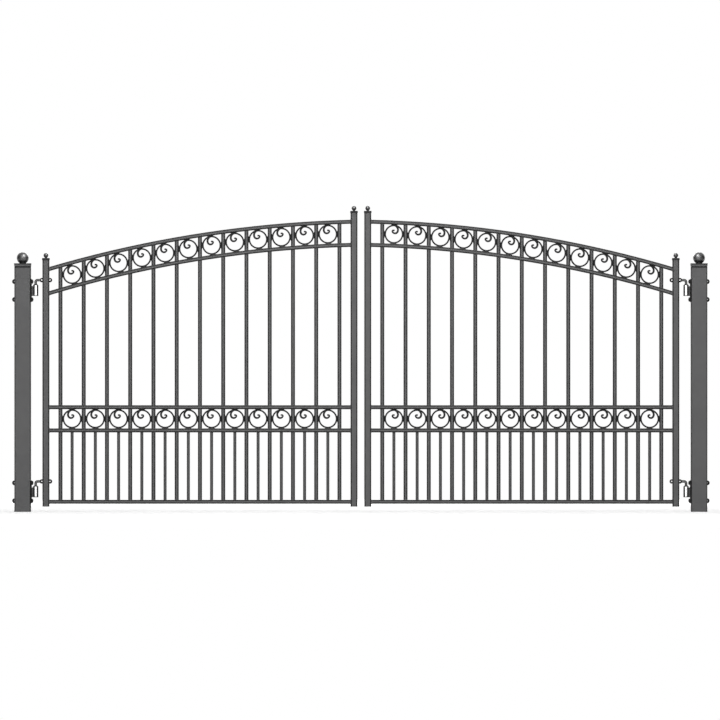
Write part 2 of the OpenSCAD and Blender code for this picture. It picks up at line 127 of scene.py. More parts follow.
class GateForm(PropertyGroup):
    """Sizes of the gate that the welds, plugs and coats follow."""
    pickets: IntProperty(
        name="Pickets", description="Full pickets in a leaf", default=13, min=2)
    arch_radius: FloatProperty(
        name="Arch radius", description="Outer radius of the arched top rail",
        subtype="DISTANCE", unit="LENGTH", default=7.252)
    arch_offset: FloatProperty(
        name="Arch offset", description="How far the arch's centre lies past the gate's centre line",
        subtype="DISTANCE", unit="LENGTH", default=0.116)
    arch_crown: FloatProperty(
        name="Arch crown", description="Height of the arch's crown above the ground",
        subtype="DISTANCE", unit="LENGTH", default=1.810)
    bead: FloatProperty(
        name="Bead", description="Radius of the weld beads",
        subtype="DISTANCE", unit="LENGTH", default=0.0022)
    tack: FloatProperty(
        name="Tack", description="Length of the tacks that hold a scroll ring",
        subtype="DISTANCE", unit="LENGTH", default=0.044)
    pin: FloatProperty(
        name="Pin", description="Diameter of the hook bolts",
        subtype="DISTANCE", unit="LENGTH", default=0.016)
    barrel: FloatProperty(
        name="Barrel", description="Diameter of the hinge barrels",
        subtype="DISTANCE", unit="LENGTH", default=0.033)
    barrel_foot: FloatProperty(
        name="Barrel foot", description="How far a barrel reaches below its hook bolt",
        subtype="DISTANCE", unit="LENGTH", default=0.0063)
    plate: FloatProperty(
        name="Plate", description="Thickness of the hinge plates",
        subtype="DISTANCE", unit="LENGTH", default=0.005)
    post_cap: FloatProperty(
        name="Post cap", description="Height of the post caps without their balls",
        subtype="DISTANCE", unit="LENGTH", default=0.028)
    ball: FloatProperty(
        name="Ball", description="Diameter of the balls on the stile caps",
        subtype="DISTANCE", unit="LENGTH", default=0.030)
    web: FloatProperty(
        name="Web", description="Thickness of the web between hinge plate and barrel",
        subtype="DISTANCE", unit="LENGTH", default=0.014)
    web_height: FloatProperty(
        name="Web height", description="Height of the web along the hinge plate",
        subtype="DISTANCE", unit="LENGTH", default=0.058)
    plug: FloatProperty(
        name="Plug", description="Height of the plugs in the stiles' lower ends",
        subtype="DISTANCE", unit="LENGTH", default=0.010)
    plug_gap: FloatProperty(
        name="Plug gap", description="Distance of a plug's sides from the outside of its stile",
        subtype="DISTANCE", unit="LENGTH", default=0.0032)


class GateStage(PropertyGroup):
    """Light, floor and camera."""
    lens: FloatProperty(
        name="Lens", description="Focal length, long enough for an almost flat view",
        subtype="DISTANCE_CAMERA", default=800.0)
    view_width: FloatProperty(
        name="View width", description="Width of the scene that the frame shows at the gate",
        subtype="DISTANCE", unit="LENGTH", default=4.4568)
    view_left: FloatProperty(
        name="View left", description="How far the view's centre lies left of the gate's",
        subtype="DISTANCE", unit="LENGTH", default=0.0054)
    view_height: FloatProperty(
        name="View height", description="Height of the view's centre above the ground",
        subtype="DISTANCE", unit="LENGTH", default=0.9396)
    key_power: FloatProperty(
        name="Key", description="Power of the overhead front light", subtype="POWER", default=235.0)
    fill_power: FloatProperty(
        name="Fill", description="Power of the broad front light", subtype="POWER", default=95.0)
    spark_power: FloatProperty(
        name="Spark", description="Power of the light that shows in gloss alone, on balls and plating",
        subtype="POWER", default=430.0)
    back_power: FloatProperty(
        name="Back", description="Power of the broad rear light", subtype="POWER", default=260.0)
    ambient: FloatProperty(
        name="Ambient", description="Strength of the even light from all round", default=0.28)
    side_shade: FloatProperty(
        name="Side shade", description="Share of the surrounding light left at the gate's two ends",
        default=0.06)
    floor_radius: FloatProperty(
        name="Floor", description="Radius of the round floor",
        subtype="DISTANCE", unit="LENGTH", default=9.0)


# Scene helpers

def settings():
    scene = bpy.context.scene
    return scene.gate_finish, scene.gate_form, scene.gate_stage


def deselect_all():
    for thing in bpy.context.selected_objects:
        thing.select_set(False)


def make_active(thing):
    deselect_all()
    thing.select_set(True)
    bpy.context.view_layer.objects.active = thing


def seat_in_mesh(thing):
    """Moves an object's place into its mesh, so that it sits at the origin."""
    make_active(thing)
    bpy.ops.object.transform_apply(location=True, rotation=True, scale=True)


def join(things):
    """Joins several objects into the first of them."""
    make_active(things[0])
    for thing in things:
        thing.select_set(True)
    bpy.ops.object.join()
    return bpy.context.object


def dress(thing, material):
    thing.data.materials.clear()
    thing.data.materials.append(material)


def settle(piece, body, coat):
    """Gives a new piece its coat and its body."""
    dress(piece, bpy.data.materials[coat])
    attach(piece, body)


# Places on the gate

def gate_centre():
    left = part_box("left_post")
    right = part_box("right_post")
    return (left[0].x + right[1].x) / 2


def post_side(box, side):
    """Place along X of a box's side that is nearest the post."""
    return box[0].x if side == "left" else box[1].x


def section(name):
    """Width and depth of an upright tube."""
    low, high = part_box("left_" + name)
    return high.x - low.x, high.y - low.y


class LeafPlan:
    """Places on one leaf, read from the frame's boxes and the arch's circle."""

    def __init__(self, side):
        form = settings()[1]
        self.body = side + "_leaf"
        self.centre = gate_centre()
        self.arch_x = self.centre + INWARD[side] * form.arch_offset
        self.arch_base = form.arch_crown - form.arch_radius

        # Pickets, and the bays between them
        low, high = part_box(side + "_pickets")
        short_low, short_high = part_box(side + "_short_pickets")
        self.picket_w = high.y - low.y
        self.short_w = short_high.y - short_low.y
        pitch = (high.x - low.x - self.picket_w) / (form.pickets - 1)
        first = low.x + self.picket_w / 2
        self.picket_xs = [first + k * pitch for k in range(form.pickets)]
        self.bay_xs = [first + (k + 0.5) * pitch for k in range(form.pickets - 1)]

        # Straight rails
        self.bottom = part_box(side + "_bottom_rail")
        self.low_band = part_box(side + "_lower_band_rail")
        self.high_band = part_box(side + "_upper_band_rail")
        self.straight = (self.bottom, self.low_band, self.high_band)
        self.rail_h = self.bottom[1].z - self.bottom[0].z
        self.rail_d = self.bottom[1].y - self.bottom[0].y

        # Radii of the arched rails and of the band between them
        band = self.high_band[0].z - self.low_band[1].z
        self.top_out = form.arch_radius
        self.top_in = self.top_out - self.rail_h
        self.low_out = self.top_in - band
        self.low_in = self.low_out - self.rail_h
        self.band_r = self.top_in - band / 2

    def arch(self, radius, x):
        """Height and slope of an arch circle at a place along the gate."""
        along = x - self.arch_x
        rise = math.sqrt(radius * radius - along * along)
        return self.arch_base + rise, -along / rise


# Shader nodes

# Noise values between which a grain runs from its least to its most
GRAIN_SPAN = (0.3, 0.7)


def put(tree, socket, value):
    """Links a socket to another one, or sets its own value."""
    if isinstance(value, bpy.types.NodeSocket):
        tree.links.new(value, socket)
    else:
        socket.default_value = value


def add(tree, kind, values=None, **traits):
    node = tree.nodes.new(kind)
    for name, trait in traits.items():
        setattr(node, name, trait)
    for name, value in (values or {}).items():
        put(tree, node.inputs[name], value)
    return node


def calc(tree, operation, *values):
    node = add(tree, "ShaderNodeMath", operation=operation)
    for socket, value in zip(node.inputs, values):
        put(tree, socket, value)
    return node.outputs["Value"]


def diagonal(tree, first, second):
    """Length of the diagonal over two legs at right angles."""
    squares = [calc(tree, "MULTIPLY", leg, leg) for leg in (first, second)]
    return calc(tree, "SQRT", calc(tree, "ADD", *squares))


def spread(tree, value, low, high, start=0.0, end=1.0):
    """Maps a value smoothly from one span to another."""
    node = add(tree, "ShaderNodeMapRange", {
        "Value": value, "From Min": low, "From Max": high, "To Min": start, "To Max": end},
        interpolation_type="SMOOTHSTEP")
    return node.outputs["Result"]


def graded(tree, grain, start, end):
    """Stretches a grain over a span of values."""
    return spread(tree, grain, *GRAIN_SPAN, start, end)


def blend(tree, factor, first, second, kind="RGBA"):
    """Mixes two colours, or two plain values where the kind is FLOAT."""
    node = add(tree, "ShaderNodeMix", {"Factor": factor, "A": first, "B": second}, data_type=kind)
    return node.outputs["Result"]


def opaque(colour):
    return (*colour, 1.0)


def scale_colour(tree, colour, factor):
    node = add(tree, "ShaderNodeVectorMath", {"Scale": factor}, operation="SCALE")
    put(tree, node.inputs[0], colour)
    return node.outputs["Vector"]


def noise(tree, scale, detail):
    place = add(tree, "ShaderNodeTexCoord")
    node = add(tree, "ShaderNodeTexNoise", {
        "Vector": place.outputs["Object"], "Scale": scale, "Detail": detail})
    return node.outputs["Fac"]


def split(tree, vector):
    return add(tree, "ShaderNodeSeparateXYZ", {"Vector": vector}).outputs


def object_axes(tree):
    return split(tree, add(tree, "ShaderNodeTexCoord").outputs["Object"])


def reach(tree):
    """Distance from the gate's centre line, so that one material suits both leaves."""
    return calc(tree, "ABSOLUTE", calc(tree, "SUBTRACT", object_axes(tree)["X"], gate_centre()))


def nearest(tree, value, places):
    """Distance of a value from the nearest of some places."""
    gaps = [calc(tree, "ABSOLUTE", calc(tree, "SUBTRACT", value, place)) for place in places]
    least = gaps[0]
    for gap in gaps[1:]:
        least = calc(tree, "MINIMUM", least, gap)
    return least


def new_group(name, given, results):
    """Starts a shader node group and returns it with its input and output sockets."""
    group = bpy.data.node_groups.new(name, "ShaderNodeTree")
    kinds = {float: "NodeSocketFloat", tuple: "NodeSocketColor"}
    for label, default in given.items():
        socket = group.interface.new_socket(label, in_out="INPUT", socket_type=kinds[type(default)])
        socket.default_value = default
    for label, kind in results.items():
        group.interface.new_socket(label, in_out="OUTPUT", socket_type=kinds[kind])
    return group, add(group, "NodeGroupInput").outputs, add(group, "NodeGroupOutput").inputs


def use_group(tree, name, values):
    return add(tree, "ShaderNodeGroup", values, node_tree=bpy.data.node_groups[name]).outputs


# Finishes that several materials share

DUST_TINT = (0.32, 0.31, 0.29, 1.0)
# How far a surface must face up to hold some dust, and all of it
DUST_FACING = (0.6, 1.0)
# Share of an edge band of painted shade that is fully dark
EDGE_CORE = 0.52
# Share of a rim at which its painted shade starts
RIM_START = 0.15
RIM_ROUGHNESS = 0.6


def coat_group():
    """Powder coat: faint cloudiness, orange peel, painted shade along the edges and dust on what faces up.
    """
    group, given, result = new_group(
        "Powder coat",
        {"Colour": (0.1, 0.1, 0.1, 1.0), "Roughness": 0.5, "Peel scale": 450.0, "Shade": 0.0, "Dust": 0.1},
        {"Colour": tuple, "Roughness": float, "Height": float})
    cloud = noise(group, scale=9.0, detail=4.0)
    # Painted shade: the Shade mask darkens the colour
    light = calc(group, "MULTIPLY", graded(group, cloud, 0.95, 1.05),
                 calc(group, "SUBTRACT", 1.0, given["Shade"]))
    tint = scale_colour(group, given["Colour"], light)

    # Dust: pale grey where the surface faces up
    normal = split(group, add(group, "ShaderNodeNewGeometry").outputs["Normal"])
    upward = calc(group, "MULTIPLY", spread(group, normal["Z"], *DUST_FACING), cloud)
    dusty = calc(group, "MULTIPLY", upward, given["Dust"])
    put(group, result["Colour"], blend(group, dusty, tint, DUST_TINT))

    # Roughness: rougher in the cloud's high spots and under dust
    uneven = calc(group, "ADD", given["Roughness"], graded(group, cloud, -0.05, 0.05))
    put(group, result["Roughness"], calc(group, "ADD", uneven, dusty))
    put(group, result["Height"], noise(group, given["Peel scale"], detail=1.5))


def edge_group():
    """Mask of the painted shade along a bar's edges, fading towards the middle of its faces."""
    group, given, result = new_group(
        "Bar edges",
        {"Across": 0.0, "Half width": 0.0125, "Half depth": 0.0125, "Band": 0.006},
        {"Mask": float})
    deep = calc(group, "ABSOLUTE", object_axes(group)["Y"])
    room = calc(group, "MAXIMUM", calc(group, "SUBTRACT", given["Half width"], given["Across"]),
                calc(group, "SUBTRACT", given["Half depth"], deep))
    put(group, result["Mask"], spread(group, calc(group, "DIVIDE", room, given["Band"]), 1.0, EDGE_CORE))


def plate_group():
    """Plated steel: mottled, finely brushed, with painted shade where it turns from the gate's front and
    back.
    """
    group, given, result = new_group(
        "Plated steel",
        {"Colour": (0.7, 0.7, 0.7, 1.0), "Roughness": 0.25, "Rim": 0.15, "Rim shade": 0.9},
        {"Colour": tuple, "Roughness": float, "Metallic": float, "Height": float})
    mottle = noise(group, scale=120.0, detail=3.0)
    normal = split(group, add(group, "ShaderNodeTexCoord").outputs["Normal"])
    # Painted shade: darker, rougher and less metallic where the surface turns from the front and back
    away = calc(group, "SUBTRACT", 1.0, calc(group, "ABSOLUTE", normal["Y"]))
    turned = spread(group, calc(group, "DIVIDE", away, given["Rim"]), RIM_START, 1.0)
    bright = calc(group, "SUBTRACT", 1.0, calc(group, "MULTIPLY", turned, given["Rim shade"]))
    light = calc(group, "MULTIPLY", bright, graded(group, mottle, 0.9, 1.08))
    rough = spread(group, bright, 0.0, 1.0, RIM_ROUGHNESS, given["Roughness"])
    put(group, result["Colour"], scale_colour(group, given["Colour"], light))
    put(group, result["Roughness"], calc(group, "ADD", rough, graded(group, mottle, -0.06, 0.06)))
    put(group, result["Metallic"], bright)
    put(group, result["Height"], noise(group, scale=900.0, detail=2.0))


# Materials

# Depths of the grain on tubes, on caps and brackets, and on plated pieces
COAT_DEPTH = 0.00008
CAP_DEPTH = 0.00004
PLATE_DEPTH = 0.00002
GRAIN_STRENGTH = 0.35
PLATE_SPECULAR = 0.1
# Distances from a border between which one finish turns into the next
BORDER_NEAR = 0.0001
BORDER_FAR = 0.0004
# How far the painted shadow beside a hinge plate fades at its ends
SHADOW_FADE = 0.001
# Heights over which a barrel clears from the painted shade at its foot, and the light left in that painted
# shade
FOOT_FADE = (0.003, 0.0055)
FOOT_LIGHT = 0.05
# Heights above the post over which a post cap's pale face fades in, and out again, between mouldings
# darkened by painted shade
FACE_START = (0.0095, 0.012)
FACE_END = (0.0215, 0.0195)
# Height over which a cap's coat turns into its ball's
BALL_FADE = 0.001


def new_material(name):
    material = bpy.data.materials.new(name)
    material.use_nodes = True
    return material, material.node_tree, material.node_tree.nodes["Principled BSDF"].inputs


def finish_shader(tree, shader, finish, depth):
    """Links a finish's colour, roughness and grain to the shader."""
    bump = add(tree, "ShaderNodeBump", {
        "Strength": GRAIN_STRENGTH, "Distance": depth, "Height": finish["Height"]})
    put(tree, shader["Base Color"], finish["Colour"])
    put(tree, shader["Roughness"], finish["Roughness"])
    put(tree, shader["Normal"], bump.outputs["Normal"])


def coat_node(tree, colour, roughness, dust, shade=0.0):
    return use_group(tree, "Powder coat", {
        "Colour": colour, "Roughness": roughness, "Peel scale": 1.0 / settings()[0].peel,
        "Shade": shade, "Dust": dust})


def plate_node(tree, colour, roughness, rim):
    return use_group(tree, "Plated steel", {
        "Colour": opaque(colour), "Roughness": roughness, "Rim": rim,
        "Rim shade": settings()[0].rim_shade})


def coat_material(name, colour, roughness, specular=0.25, dust=0.08, shade=None):
    """Powder-coated steel, with shade(tree) as the mask of the painted shade that darkens it."""
    material, tree, shader = new_material(name)
    shader["Specular IOR Level"].default_value = specular
    coat = coat_node(tree, opaque(colour), roughness, dust, shade(tree) if shade else 0.0)
    finish_shader(tree, shader, coat, COAT_DEPTH)
    return material


def plate_material(name, colour, roughness, rim):
    material, tree, shader = new_material(name)
    shader["Specular IOR Level"].default_value = PLATE_SPECULAR
    plate = plate_node(tree, colour, roughness, rim)
    put(tree, shader["Metallic"], plate["Metallic"])
    finish_shader(tree, shader, plate, PLATE_DEPTH)
    return material


def bar_coat(name, across, size, strength, more=None):
    """Coat of a tube with painted shade along its edges: across(tree) is the distance from its middle line.
    """
    finish = settings()[0]

    def shade(tree):
        edges = use_group(tree, "Bar edges", {
            "Across": across(tree), "Half width": size[0] / 2, "Half depth": size[1] / 2,
            "Band": finish.edge})
        shaded = calc(tree, "MULTIPLY", edges["Mask"], strength)
        return calc(tree, "MAXIMUM", shaded, more(tree)) if more else shaded

    return coat_material(name, finish.coat, roughness=0.55, specular=0.18, shade=shade)


def upright_lines(plan, names):
    """Distance from the middle lines of some upright tubes."""
    boxes = [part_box("left_" + name) for name in names]
    middles = [plan.centre - (low.x + high.x) / 2 for low, high in boxes]
    return lambda tree: nearest(tree, reach(tree), middles)


def row_lines(plan, xs):
    """Distance from the middle lines of a row of even pickets."""
    pitch = xs[1] - xs[0]
    first = plan.centre - xs[-1]

    def across(tree):
        along = calc(tree, "SUBTRACT", reach(tree), first)
        return calc(tree, "ABSOLUTE", calc(tree, "WRAP", along, pitch / 2, -pitch / 2))

    return across


def rail_lines(plan):
    """Distance from the middle lines of the straight rails."""
    heights = [(low.z + high.z) / 2 for low, high in plan.straight]
    return lambda tree: nearest(tree, object_axes(tree)["Z"], heights)


def arch_lines(plan):
    """Distance from the middle lines of the arched rails."""
    radii = [outer - plan.rail_h / 2 for outer in (plan.top_out, plan.low_out)]

    def across(tree):
        along = calc(tree, "ADD", reach(tree), settings()[1].arch_offset)
        up = calc(tree, "SUBTRACT", object_axes(tree)["Z"], plan.arch_base)
        return nearest(tree, diagonal(tree, along, up), radii)

    return across


def hinge_shadow(tree):
    """Painted shadow: a black strip on the post's corner along each hinge plate."""
    finish = settings()[0]
    corner = gate_centre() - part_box("left_post")[1].x + finish.seam
    beside = spread(tree, reach(tree), corner + BORDER_FAR, corner - BORDER_FAR, 0.0, finish.edge_shade)
    spans = [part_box("left_" + level + "_bracket") for level in LEVELS]
    half = (spans[0][1].z - spans[0][0].z) / 2
    off = nearest(tree, object_axes(tree)["Z"], [(low.z + high.z) / 2 for low, high in spans])
    return calc(tree, "MULTIPLY", beside, spread(tree, off, half + SHADOW_FADE, half - SHADOW_FADE))


def bracket_material(name):
    """Black plate, grey web and plated barrel with painted shade at its foot, told apart by their place."""
    finish, form, _ = settings()
    material, tree, shader = new_material(name)
    shader["Specular IOR Level"].default_value = PLATE_SPECULAR
    axes = object_axes(tree)
    out = reach(tree)
    pin = gate_centre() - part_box("left_upper_hook")[0].x - form.pin / 2
    face = gate_centre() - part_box("left_upper_bracket")[0].x - form.plate
    wall = form.barrel / 2
    feet = [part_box("left_" + level + "_hook")[0].z - form.barrel_foot for level in LEVELS]

    # Masks of the barrel, of the plate and of what is clear of the painted shade at the barrel's foot
    radius = diagonal(tree, calc(tree, "SUBTRACT", out, pin), axes["Y"])
    turned = spread(tree, radius, wall + BORDER_FAR, wall + BORDER_NEAR)
    flat = spread(tree, out, face - BORDER_FAR, face - BORDER_NEAR)
    clear = spread(tree, nearest(tree, axes["Z"], feet), *FOOT_FADE, FOOT_LIGHT, 1.0)

    tint = blend(tree, flat, opaque(finish.web), opaque(finish.ironwork))
    coat = coat_node(tree, tint, roughness=0.5, dust=0.04)
    plate = plate_node(tree, finish.barrel, roughness=0.22, rim=0.15)
    plated = calc(tree, "MULTIPLY", turned, clear)
    put(tree, shader["Metallic"], calc(tree, "MULTIPLY", plated, plate["Metallic"]))
    finish_shader(tree, shader, {
        "Colour": blend(tree, turned, coat["Colour"], scale_colour(tree, plate["Colour"], clear)),
        "Roughness": blend(tree, turned, coat["Roughness"], plate["Roughness"], "FLOAT"),
        "Height": coat["Height"]}, CAP_DEPTH)
    return material


def finish_cap(tree, shader, tint, ball, gloss):
    """Coats a cap, with a clear coat over the ball on it."""
    shader["Specular IOR Level"].default_value = 0.12
    shader["Coat Roughness"].default_value = 0.4
    shader["Coat IOR"].default_value = 1.78
    put(tree, shader["Coat Weight"], calc(tree, "MULTIPLY", ball, gloss))
    colour = blend(tree, ball, tint, opaque(settings()[0].ball))
    finish_shader(tree, shader, coat_node(tree, colour, roughness=0.45, dust=0.03), CAP_DEPTH)


def post_cap_material(name):
    """Mouldings darkened by painted shade, with a paler face between them, under a glossy ball."""
    finish, form, _ = settings()
    material, tree, shader = new_material(name)
    rise = calc(tree, "SUBTRACT", object_axes(tree)["Z"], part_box("left_post")[1].z)
    # Painted shade: the mouldings above and below the face keep the dark cap colour
    face = calc(tree, "MULTIPLY", spread(tree, rise, *FACE_START), spread(tree, rise, *FACE_END))
    ball = spread(tree, rise, form.post_cap + BALL_FADE, form.post_cap + 2 * BALL_FADE)
    tint = blend(tree, face, opaque(finish.cap), opaque(finish.coat))
    finish_cap(tree, shader, tint, ball, gloss=1.0)
    return material


def finial_material(name):
    """Dark stile cap under a glossy ball."""
    finish, form, _ = settings()
    material, tree, shader = new_material(name)
    radius = form.ball / 2
    middles = [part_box("left_" + stile + "_cap")[1].z - radius for stile in STILES]
    off = nearest(tree, object_axes(tree)["Z"], middles)
    ball = spread(tree, off, radius + BALL_FADE, radius)
    finish_cap(tree, shader, opaque(finish.cap), ball, gloss=0.75)
    return material


# Coats

def tube_coats(plan):
    """Coats of the tubes, with painted shade along their edges, by the endings of the nodes' names."""
    finish = settings()[0]
    dark = finish.edge_shade
    rail = (plan.rail_h, plan.rail_d)
    full = (plan.picket_w, plan.picket_w)
    short = (plan.short_w, plan.short_w)
    arched = bar_coat("Arched rail coat", arch_lines(plan), rail, dark)
    return (
        # Posts: painted shade along their edges and a painted shadow beside each hinge plate
        ("_post", bar_coat(
            "Post coat", upright_lines(plan, ["post"]), section("post"), finish.post_shade, hinge_shadow)),
        ("_stile", bar_coat("Stile coat", upright_lines(plan, STILES), section("hinge_stile"), dark)),
        ("top_rail", arched),
        ("arch_rail", arched),
        ("rail", bar_coat("Rail coat", rail_lines(plan), rail, dark)),
        ("short_pickets", bar_coat(
            "Short picket coat", row_lines(plan, plan.bay_xs), short, finish.short_shade)),
        ("pickets", bar_coat("Picket coat", row_lines(plan, plan.picket_xs), full, dark)))


def fitting_coats():
    """Coats of rings, caps, hinges and fasteners, by the endings of the nodes' names."""
    finish = settings()[0]
    return (
        ("rings", coat_material("Ring coat", finish.ring, roughness=0.5, specular=0.15, dust=0.04)),
        ("post_cap", post_cap_material("Post cap coat")),
        ("stile_cap", finial_material("Finial coat")),
        ("bracket", bracket_material("Bracket")),
        ("_hook", plate_material("Hook bolt", finish.hook, roughness=0.4, rim=0.1)),
        ("hook_nuts", plate_material("Domed nut", finish.dome, roughness=0.24, rim=0.06)),
        ("post_bolts", plate_material("Plated bolt", finish.bolt, roughness=0.3, rim=0.05)),
        ("post_nuts", coat_material("Hexagon nut", finish.ironwork, roughness=0.45, dust=0.0)))


class GATE_OT_coat(Operator):
    """Coats every steel piece of the gate"""
    bl_idname = "gate.coat"
    bl_label = "Coat the steel"

    def execute(self, context):
        finish = settings()[0]
        coat_group()
        edge_group()
        plate_group()

        # Coats that the welds and plugs take up
        coat_material("Gate coat", finish.coat, roughness=0.55)
        coat_material("Stile plug", finish.plug, roughness=0.6, dust=0.0)

        coats = (*tube_coats(LeafPlan("left")), *fitting_coats())
        for name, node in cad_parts.items():
            fits = [material for ending, material in coats if name.endswith(ending)]
            if not fits:
                raise RuntimeError("No coat for " + name)
            for held in node.material_slots:
                held.material = fits[0]
        return {"FINISHED"}


# Welds

BEAD_CORNERS = 6
# Radius of a bead at its ends and between two ripples, as shares of its full radius
BEAD_END = 0.6
BEAD_WAIST = 0.84
# Shares of a picket's width, a rail's sides and a web's height that a bead runs along
PICKET_RUN = 0.8
RAIL_RUN = 0.86
WEB_RUN = 0.96
# Radii of the beads that differ, as shares of the usual radius
SHORT_BEAD = 0.85
RAIL_BEAD = 1.15
TACK_BEAD = 1.4
# Share of its radius that a tack loses towards its ends
TACK_TAPER = 0.7
BEAD_SMOOTHING = math.radians(50)

ALONG_X = Matrix.Rotation(QUARTER, 4, "Y")
ALONG_Y = Matrix.Rotation(QUARTER, 4, "X")
ALONG_Z = Matrix.Identity(4)


def at(x, y, z, turn=ALONG_Z, slope=0.0):
    return Matrix.Translation((x, y, z)) @ Matrix.Rotation(-math.atan(slope), 4, "Y") @ turn


def ripple_bead(length, radius, ripples, taper=0.0):
    """One weld bead along Z, drawn out ripple by ripple, thinner at its ends by the taper."""
    deselect_all()
    count = 2 * ripples
    step = length / count
    width = BEAD_END * (1 - taper)
    bpy.ops.mesh.primitive_circle_add(
        vertices=BEAD_CORNERS, radius=radius * width, fill_type="NGON", location=(0, 0, -length / 2))
    bead = bpy.context.object
    bpy.ops.object.mode_set(mode="EDIT")
    bpy.ops.mesh.select_all(action="SELECT")
    for k in range(1, count + 1):
        bpy.ops.mesh.extrude_region_move(TRANSFORM_OT_translate={"value": (0, 0, step)})
        wanted = BEAD_END if k == count else (1.0 if k % 2 else BEAD_WAIST)
        wanted *= 1 - taper * (2 * k / count - 1) ** 2
        ratio = wanted / width
        bpy.ops.transform.resize(
            value=(ratio, ratio, 1), center_override=(0, 0, k * step - length / 2))
        width = wanted
    bpy.ops.mesh.select_all(action="SELECT")
    bpy.ops.mesh.normals_make_consistent(inside=False)
    bpy.ops.object.mode_set(mode="OBJECT")
    bpy.ops.object.shade_smooth_by_angle(angle=BEAD_SMOOTHING)
    seat_in_mesh(bead)
    return bead


def lay(bead, places, name):
    """Copies a bead to its places, joins the copies to one piece and deletes the bead."""
    copies = []
    for place in places:
        copy = bead.copy()
        copy.data = bead.data.copy()
        copy.data.transform(place)
        bpy.context.collection.objects.link(copy)
        copies.append(copy)
    bpy.data.meshes.remove(bead.data)
    run = join(copies)
    run.name = name
    run.data.name = name
    return run


class GATE_OT_picket_welds(Operator):
    """Lays a bead at the front and back of every picket where it meets a rail"""
    bl_idname = "gate.picket_welds"
    bl_label = "Weld the pickets"

    def execute(self, context):
        form = settings()[1]
        for side in SIDES:
            plan = LeafPlan(side)
            # Heights of the seams in the lower panel and along the straight band
            panel = (plan.bottom[1].z, plan.low_band[0].z)
            band = (plan.low_band[1].z, plan.high_band[0].z, plan.high_band[1].z)
            seams = []
            for x in plan.picket_xs:
                seams += [(x, z, 0.0) for z in (*panel, *band)]
                seams += [(x, *plan.arch(radius, x)) for radius in (plan.low_in, plan.low_out, plan.top_in)]
            bead = ripple_bead(plan.picket_w * PICKET_RUN, form.bead, ripples=4)
            places = [at(x, y * plan.picket_w / 2, z, ALONG_X, slope)
                      for x, z, slope in seams for y in (-1, 1)]
            settle(lay(bead, places, side + "_picket_welds"), plan.body, "Gate coat")

            bead = ripple_bead(plan.short_w * PICKET_RUN, form.bead * SHORT_BEAD, ripples=3)
            places = [at(x, y * plan.short_w / 2, z, ALONG_X)
                      for x in plan.bay_xs for z in panel for y in (-1, 1)]
            settle(lay(bead, places, side + "_short_picket_welds"), plan.body, "Gate coat")
        return {"FINISHED"}


class GATE_OT_ring_welds(Operator):
    """Tacks every scroll ring to its pickets and rails"""
    bl_idname = "gate.ring_welds"
    bl_label = "Weld the rings"

    def execute(self, context):
        form = settings()[1]
        for side in SIDES:
            plan = LeafPlan(side)
            low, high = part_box(side + "_band_rings")
            ring = (high.z - low.z) / 2
            front = (high.y - low.y) / 2
            middle = (high.z + low.z) / 2
            centres = [(x, middle, 0.0) for x in plan.bay_xs]
            centres += [(x, *plan.arch(plan.band_r, x)) for x in plan.bay_xs]
            bead = ripple_bead(form.tack, form.bead * TACK_BEAD, ripples=4, taper=TACK_TAPER)
            places = []
            for x, z, slope in centres:
                lean = math.atan(slope)
                over = Vector((-math.sin(lean), 0, math.cos(lean))) * ring
                for y in (-front, front):
                    places.append(at(x - ring, y, z))
                    places.append(at(x + ring, y, z))
                    places.append(at(x + over.x, y, z + over.z, ALONG_X, slope))
                    places.append(at(x - over.x, y, z - over.z, ALONG_X, slope))
            settle(lay(bead, places, side + "_ring_welds"), plan.body, "Ring coat")
        return {"FINISHED"}


class GATE_OT_frame_welds(Operator):
    """Welds the rails' ends to the stiles all round"""
    bl_idname = "gate.frame_welds"
    bl_label = "Weld the frames"

    def execute(self, context):
        form = settings()[1]
        for side in SIDES:
            plan = LeafPlan(side)
            arched = ((plan.low_in, plan.low_out), (plan.top_in, plan.top_out))
            across, upright = [], []
            for x in (plan.bottom[0].x, plan.bottom[1].x):
                ends = [(low.z, high.z) for low, high in plan.straight]
                ends += [(plan.arch(inner, x)[0], plan.arch(outer, x)[0]) for inner, outer in arched]
                for low, high in ends:
                    across += [at(x, 0, z, ALONG_Y) for z in (low, high)]
                    upright += [at(x, y * plan.rail_d / 2, (low + high) / 2) for y in (-1, 1)]
            bead = ripple_bead(plan.rail_d * RAIL_RUN, form.bead * RAIL_BEAD, ripples=5)
            flat = lay(bead, across, side + "_rail_end_welds")
            bead = ripple_bead(plan.rail_h * RAIL_RUN, form.bead * RAIL_BEAD, ripples=4)
            tall = lay(bead, upright, side + "_rail_end_uprights")
            settle(join([flat, tall]), plan.body, "Gate coat")
        return {"FINISHED"}


class GATE_OT_bracket_welds(Operator):
    """Welds each web to its hinge plate and barrel"""
    bl_idname = "gate.bracket_welds"
    bl_label = "Weld the hinge brackets"

    def execute(self, context):
        form = settings()[1]
        # Distance from a barrel's middle line at which a web meets its wall
        meet = math.sqrt((form.barrel / 2) ** 2 - (form.web / 2) ** 2)
        for side in SIDES:
            inward = INWARD[side]
            places = []
            for level in LEVELS:
                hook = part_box(side + "_" + level + "_hook")
                pin = post_side(hook, side) + inward * form.pin / 2
                face = post_side(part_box(side + "_" + level + "_bracket"), side) + inward * form.plate
                middle = hook[0].z - form.barrel_foot + form.web_height / 2
                for y in (-form.web / 2, form.web / 2):
                    places += [at(x, y, middle) for x in (face, pin - inward * meet)]
            bead = ripple_bead(form.web_height * WEB_RUN, form.bead, ripples=12)
            settle(lay(bead, places, side + "_bracket_welds"), "posts", "Gate coat")
        return {"FINISHED"}


# Plugs

# How far a plug sits inside its stile
PLUG_LIFT = 0.001
PLUG_BEVEL = 0.0012
# Width of the rim round a plug's lower face, and depth of the dish inside it
PLUG_RIM = 0.004
PLUG_DISH = 0.0015
PLUG_SMOOTHING = math.radians(35)


